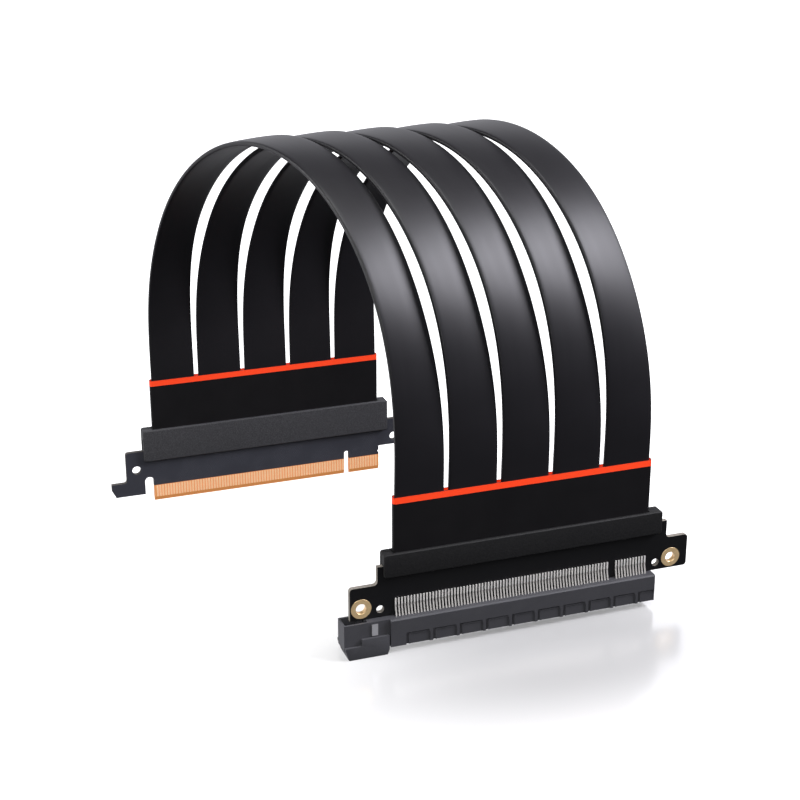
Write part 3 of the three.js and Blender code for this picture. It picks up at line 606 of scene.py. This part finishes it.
def softened(node, name, material, body):
    """A copy of a node with its sharp edges rounded off."""
    bm = bmesh.new()
    bm.from_mesh(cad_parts[node].data)
    bmesh.ops.remove_doubles(bm, verts=bm.verts, dist=WELD)
    bmesh.ops.dissolve_limit(
        bm, angle_limit=radians(1), verts=bm.verts, edges=bm.edges, delimit={"NORMAL"}
    )
    sharp = [e for e in bm.edges if e.is_manifold and e.calc_face_angle() > SOFTENED_FROM]
    bmesh.ops.bevel(
        bm,
        geom=sharp,
        offset=SOFT_EDGE,
        segments=SOFT_SEGMENTS,
        profile=0.5,
        affect="EDGES",
        clamp_overlap=True,
        material=-1,
    )
    finished(name, bm, material, body, node, SOFT_SHARP_FROM)


def eyelet(side, material):
    """A plated eyelet: barrel and two flanges, spun round its axis."""
    node = f"mounting_eyelet_{side}"
    low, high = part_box(node)
    middle = (low + high) / 2
    flange = (high.z - low.z) / 2
    face = (high.y - low.y) / 2
    outline = [
        (EYELET_BORE, -face + EYELET_LEAD),
        (EYELET_BORE + EYELET_LEAD, -face),
        (flange - EYELET_RIM, -face),
        (flange, -face + EYELET_CORNER),
        (flange, -EYELET_SEAT),
        (EYELET_BARREL, -EYELET_SEAT),
    ]
    outline = outline + [(r, -along) for r, along in reversed(outline)]
    bm = bmesh.new()
    verts = [bm.verts.new((r, along, 0)) for r, along in outline]
    edges = [bm.edges.new(pair) for pair in zip(verts, verts[1:] + verts[:1])]
    bmesh.ops.spin(
        bm,
        geom=verts + edges,
        cent=(0, 0, 0),
        axis=(0, 1, 0),
        angle=2 * pi,
        steps=EYELET_STEPS,
        use_merge=True,
    )
    bmesh.ops.remove_doubles(bm, verts=bm.verts, dist=WELD)
    bmesh.ops.recalc_face_normals(bm, faces=bm.faces)
    bmesh.ops.translate(bm, vec=middle, verts=bm.verts)
    name = f"eyelet_{side}_plating"
    finished(name, bm, material, "riser", node, SOFT_SHARP_FROM)


def clad(node, material):
    """Gives a CAD node its finish."""
    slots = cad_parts[node].material_slots
    for slot in slots:
        slot.material = material
    if not slots:
        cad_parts[node].data.materials.append(material)


def camera():
    """The eye of the photograph, turned so that AIM falls AIM_PIXEL from its middle."""
    back = Vector(
        (sin(AZIMUTH) * cos(ELEVATION), -cos(AZIMUTH) * cos(ELEVATION), sin(ELEVATION))
    )
    right = Vector((cos(AZIMUTH), sin(AZIMUTH), 0))
    up = back.cross(right)
    per_pixel = DISTANCE / FOCAL_PIXELS
    aside, above = AIM_PIXEL
    place = AIM + back * DISTANCE - right * aside * per_pixel + up * above * per_pixel
    data = bpy.data.cameras.new("camera")
    data.sensor_width = SENSOR
    data.lens = SENSOR * FOCAL_PIXELS / PICTURE
    data.clip_start = NEAR_CLIP
    eye = bpy.data.objects.new("camera", data)
    turned = Matrix((right, up, back)).transposed().to_4x4()
    eye.matrix_world = Matrix.Translation(place) @ turned
    bpy.context.scene.collection.objects.link(eye)
    bpy.context.scene.camera = eye


def softbox(name, towards, distance, size, watts, colour):
    """A rectangular light in a direction from the object's middle, facing it."""
    low, high = cad_box
    middle = (Vector(low) + Vector(high)) / 2
    data = bpy.data.lights.new(name, "AREA")
    data.shape = "RECTANGLE"
    data.size, data.size_y = size
    data.energy = watts
    data.color = colour
    lamp = bpy.data.objects.new(name, data)
    direction = Vector(towards).normalized()
    facing = direction.to_track_quat("Z", "Y").to_matrix().to_4x4()
    lamp.matrix_world = Matrix.Translation(middle + direction * distance) @ facing
    bpy.context.scene.collection.objects.link(lamp)


def studio():
    """A dim room with a bright backdrop behind the object. The camera sees plain white."""
    scene = bpy.context.scene
    scene.view_settings.view_transform = "Standard"
    world = bpy.data.worlds.new("studio")
    scene.world = world
    world.use_nodes = True
    nodes, links = world.node_tree.nodes, world.node_tree.links
    towards = nodes.new("ShaderNodeSeparateXYZ")
    links.new(nodes.new("ShaderNodeTexCoord").outputs["Generated"], towards.inputs[0])

    def smooth(axis, ends, low, high):
        """Goes from low to high as the direction's coordinate goes from end to end."""
        node = nodes.new("ShaderNodeMapRange")
        node.interpolation_type = "SMOOTHSTEP"
        links.new(towards.outputs[axis], node.inputs[0])
        for socket, value in enumerate((*ends, low, high), start=1):
            node.inputs[socket].default_value = value
        return node.outputs[0]

    glow = nodes.new("ShaderNodeMath")
    glow.operation = "MULTIPLY_ADD"
    links.new(smooth("Y", BACKDROP_Y, 0, BACKDROP_GLOW), glow.inputs[0])
    links.new(smooth("Z", OVERHEAD_Z, 1, 0), glow.inputs[1])
    glow.inputs[2].default_value = ROOM_GLOW
    room = nodes["Background"]
    room.inputs["Color"].default_value = (*ROOM_TINT, 1)
    links.new(glow.outputs[0], room.inputs["Strength"])
    white = nodes.new("ShaderNodeBackground")
    white.inputs["Color"].default_value = (1, 1, 1, 1)
    seen = nodes.new("ShaderNodeMixShader")
    links.new(nodes.new("ShaderNodeLightPath").outputs["Is Camera Ray"], seen.inputs[0])
    links.new(room.outputs[0], seen.inputs[1])
    links.new(white.outputs[0], seen.inputs[2])
    links.new(seen.outputs[0], nodes["World Output"].inputs["Surface"])
    for name, settings in SOFTBOXES.items():
        softbox(name, *settings)


def floor():
    """A pale, half glossy floor whose own light turns it white a little away from the socket."""
    bm = bmesh.new()
    bmesh.ops.create_grid(bm, x_segments=1, y_segments=1, size=FLOOR_SIZE)
    mesh = bpy.data.meshes.new("floor")
    bm.to_mesh(mesh)
    bm.free()
    ground = bpy.data.objects.new("floor", mesh)
    ground.location.z = cad_box[0][2]
    bpy.context.scene.collection.objects.link(ground)
    finish = Finish("pale_floor", Base_Color=(0.8, 0.8, 0.8), Roughness=0.2, Metallic=0.45)
    squeezed = finish.add(
        "ShaderNodeVectorMath",
        {"operation": "MULTIPLY"},
        {0: finish.place(), 1: FLOOR_DIM_SHAPE},
    )
    away = finish.add(
        "ShaderNodeVectorMath",
        {"operation": "DISTANCE"},
        {0: squeezed, 1: FLOOR_DIM_AT},
        output="Value",
    )
    glow = finish.spread(away, FLOOR_WHITE_FROM, FLOOR_WHITE_TO, FLOOR_GLOW, 1)
    finish.feed("Emission Color", finish.blend(glow, (0, 0, 0), (1, 1, 1)))
    finish.feed("Emission Strength", 1.0)
    mesh.materials.append(finish.material)
    ground.visible_diffuse = False
    ground.visible_glossy = False


camera()
studio()
floor()

jacket = ribbon_jacket()
frames, lengths = ribbon_frames()
for number in range(1, RIBBON_COUNT + 1):
    ribbon(number, jacket, frames, lengths)

for end in ("plug", "socket"):
    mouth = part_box(f"{end}_sleeve")[1].z
    sleeve(end, sleeve_film(f"{end}_film", mouth))

# Painted light and shade: the plug's covers get a lighter tone of the black moulding, the socket's
# a darker one
for end, dark, light in (
    ("plug", (0.042, 0.042, 0.046), (0.078, 0.078, 0.084)),
    ("socket", (0.0048, 0.0048, 0.0053), (0.0145, 0.0145, 0.0155)),
):
    moulding = cover_moulding(f"{end}_cover_moulding", dark, light)
    for side in ("front", "back"):
        node = f"{end}_cover_{side}"
        softened(node, f"{node}_shell", moulding, "riser")

# Painted light and shade: the plug board's mask gets a lighter tone, the socket board's a darker
# one
clad(
    "plug_board",
    board_layers(
        "plug_board_layers",
        hatched=1.0,
        dark=(0.054, 0.056, 0.070),
        light=(0.070, 0.073, 0.090),
        edge=(0.12, 0.11, 0.10),
        gilded=True,
    ),
)
clad(
    "socket_board",
    board_layers(
        "socket_board_layers",
        hatched=0.3,
        dark=(0.006, 0.006, 0.007),
        light=(0.008, 0.008, 0.010),
        edge=(0.36, 0.33, 0.29),
        gilded=False,
    ),
)

nylon = slot_nylon()
clad("slot_housing", nylon)
softened("latch_lever", "latch_lever_moulding", nylon, "latch")

plating = gold_plate()
for side in ("left", "right"):
    eyelet(side, plating)
